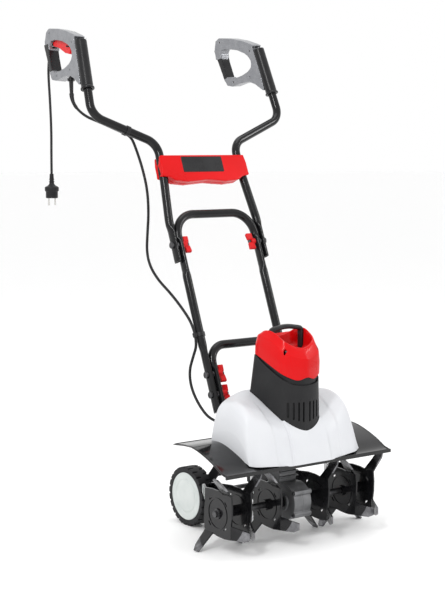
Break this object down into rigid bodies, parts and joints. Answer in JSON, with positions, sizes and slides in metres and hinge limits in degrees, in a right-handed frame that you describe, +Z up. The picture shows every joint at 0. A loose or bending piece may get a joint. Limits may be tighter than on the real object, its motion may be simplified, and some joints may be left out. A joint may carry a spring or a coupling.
{
  "type": "tiller",
  "caption": "Electric garden tiller with bladed steel tines under an arched fender, a tall motor housing, a folding tubular handle with D grips and two rear wheels.",
  "frame": {"origin": "centre of the machine's bounding box without its free cord, on the floor the tines and wheels stand on", "axes": "+X across the machine, towards the operator's right hand; +Y from the tines back towards the operator; +Z up"},
  "size_m": [0.6253, 0.7827, 1.2628],
  "materials": {
    "gearcase": "cast",
    "bearing_steel": "ground",
    "mount_black": "black coated",
    "motor_steel": "machined",
    "brass": "machined",
    "fender_black": "gloss",
    "frame_black": "gloss",
    "bracket_black": "satin",
    "skirt_white": "satin",
    "cowl_grey": "textured",
    "red_plastic": "satin",
    "nut_red": "satin",
    "trigger_red": "satin",
    "button_black": "satin",
    "handle_black": "satin",
    "tine_black": "gloss",
    "bolt_steel": "zinc plated",
    "grip_silver": "satin metallic",
    "grip_rubber": "soft",
    "cable_black": "matt",
    "pin_brass": "nickel plated",
    "rim_white": "satin",
    "tyre_black": "matt"
  },
  "bodies": {
    "chassis": {"gear_case_left": "gearcase", "gear_case_right": "gearcase", "bearings": "bearing_steel", "motor_mount": "mount_black", "motor_stator": "motor_steel", "fender": "fender_black", "chassis_bracket": "bracket_black", "skirt_cover": "skirt_white", "motor_cowl": "cowl_grey", "top_cover": "red_plastic", "carry_handle": "handle_black", "lower_frame": "frame_black", "middle_frame": "frame_black", "frame_bolts": "bolt_steel", "cable_gland_lower": "cable_black", "cable_clip_lower": "handle_black", "chassis_screws": "bolt_steel", "switch_cable": "cable_black"},
    "tine_rotor": {"tine_pair_left": "tine_black", "tine_pair_right": "tine_black", "tine_inner_left": "tine_black", "tine_inner_right": "tine_black", "tine_shaft": "bolt_steel", "tine_bolts": "bolt_steel", "worm_wheel": "brass"},
    "armature": {"armature": "motor_steel"},
    "upper_handle": {"upper_tube_left": "frame_black", "upper_tube_right": "frame_black", "panel_front": "red_plastic", "panel_rear": "red_plastic", "grip_left_outer": "grip_silver", "grip_left_inner": "grip_silver", "grip_right_outer": "grip_silver", "grip_right_inner": "grip_silver", "grip_sleeve_left": "grip_rubber", "grip_sleeve_right": "grip_rubber", "grip_pads": "grip_rubber", "switch_block": "handle_black", "handle_screws": "bolt_steel", "cable_gland_upper": "cable_black", "cable_clip_upper": "handle_black", "power_cord": "cable_black", "cord_relief": "cable_black", "plug_body": "cable_black", "plug_pins": "pin_brass"},
    "trigger": {"trigger": "trigger_red"},
    "lock_button": {"lock_button": "button_black"},
    "carrier": {"wheel_carrier": "bracket_black", "wheel_axle": "bolt_steel"},
    "wheel_left": {"wheel_rim_left": "rim_white", "tyre_left": "tyre_black"},
    "wheel_right": {"wheel_rim_right": "rim_white", "tyre_right": "tyre_black"},
    "wing_nut_upper_left": {"wing_nut_upper_left": "nut_red"},
    "wing_nut_upper_right": {"wing_nut_upper_right": "nut_red"},
    "wing_nut_middle_left": {"wing_nut_middle_left": "nut_red"},
    "wing_nut_middle_right": {"wing_nut_middle_right": "nut_red"},
    "wing_nut_lower_left": {"wing_nut_lower_left": "nut_red"},
    "wing_nut_lower_right": {"wing_nut_lower_right": "nut_red"}
  },
  "joints": [
    {"name": "handle_fold", "type": "hinge", "parent": "chassis", "child": "upper_handle", "pos_m": [0, 0.00022, 0.70899], "axis": [-1, 0, 0], "range_deg": [0, 120], "deforming": ["switch_cable"]},
    {"name": "tine_spin", "type": "hinge", "parent": "chassis", "child": "tine_rotor", "pos_m": [0, -0.30136, 0.095], "axis": [1, 0, 0], "continuous": true},
    {"name": "armature_spin", "type": "hinge", "parent": "chassis", "child": "armature", "pos_m": [0, -0.26536, 0.2], "axis": [0, 0, 1], "continuous": true},
    {"name": "carrier_swing", "type": "hinge", "parent": "chassis", "child": "carrier", "pos_m": [0, -0.17936, 0.214], "axis": [1, 0, 0], "range_deg": [0, 60]},
    {"name": "wheel_left_spin", "type": "hinge", "parent": "carrier", "child": "wheel_left", "pos_m": [-0.125, -0.05436, 0.075], "axis": [1, 0, 0], "continuous": true},
    {"name": "wheel_right_spin", "type": "hinge", "parent": "carrier", "child": "wheel_right", "pos_m": [0.125, -0.05436, 0.075], "axis": [1, 0, 0], "continuous": true},
    {"name": "trigger_squeeze", "type": "hinge", "parent": "upper_handle", "child": "trigger", "pos_m": [-0.28223, 0.25986, 1.21105], "axis": [0.9969, -0.0498, -0.0606], "range_deg": [0, 4], "stiffness_Nm_per_rad": 0.6, "springref_deg": -5.73},
    {"name": "lock_press", "type": "slide", "parent": "upper_handle", "child": "lock_button", "axis": [-0.0499, -0.9988, 0], "range_m": [0, 0.004], "stiffness_N_per_m": 400, "springref_m": -0.002},
    {"name": "wing_nut_upper_left_turn", "type": "hinge", "parent": "chassis", "child": "wing_nut_upper_left", "pos_m": [-0.1, 0.00022, 0.70899], "axis": [-1, 0, 0], "continuous": true},
    {"name": "wing_nut_upper_right_turn", "type": "hinge", "parent": "chassis", "child": "wing_nut_upper_right", "pos_m": [0.1, 0.00022, 0.70899], "axis": [1, 0, 0], "continuous": true},
    {"name": "wing_nut_middle_left_turn", "type": "hinge", "parent": "chassis", "child": "wing_nut_middle_left", "pos_m": [-0.1, -0.1259, 0.39368], "axis": [-1, 0, 0], "continuous": true},
    {"name": "wing_nut_middle_right_turn", "type": "hinge", "parent": "chassis", "child": "wing_nut_middle_right", "pos_m": [0.1, -0.1259, 0.39368], "axis": [1, 0, 0], "continuous": true},
    {"name": "wing_nut_lower_left_turn", "type": "hinge", "parent": "chassis", "child": "wing_nut_lower_left", "pos_m": [-0.1, -0.14484, 0.34632], "axis": [-1, 0, 0], "continuous": true},
    {"name": "wing_nut_lower_right_turn", "type": "hinge", "parent": "chassis", "child": "wing_nut_lower_right", "pos_m": [0.1, -0.14484, 0.34632], "axis": [1, 0, 0], "continuous": true}
  ],
  "couplings": [
    {"joint": "armature_spin", "follows": "tine_spin", "ratio": -30}
  ]
}
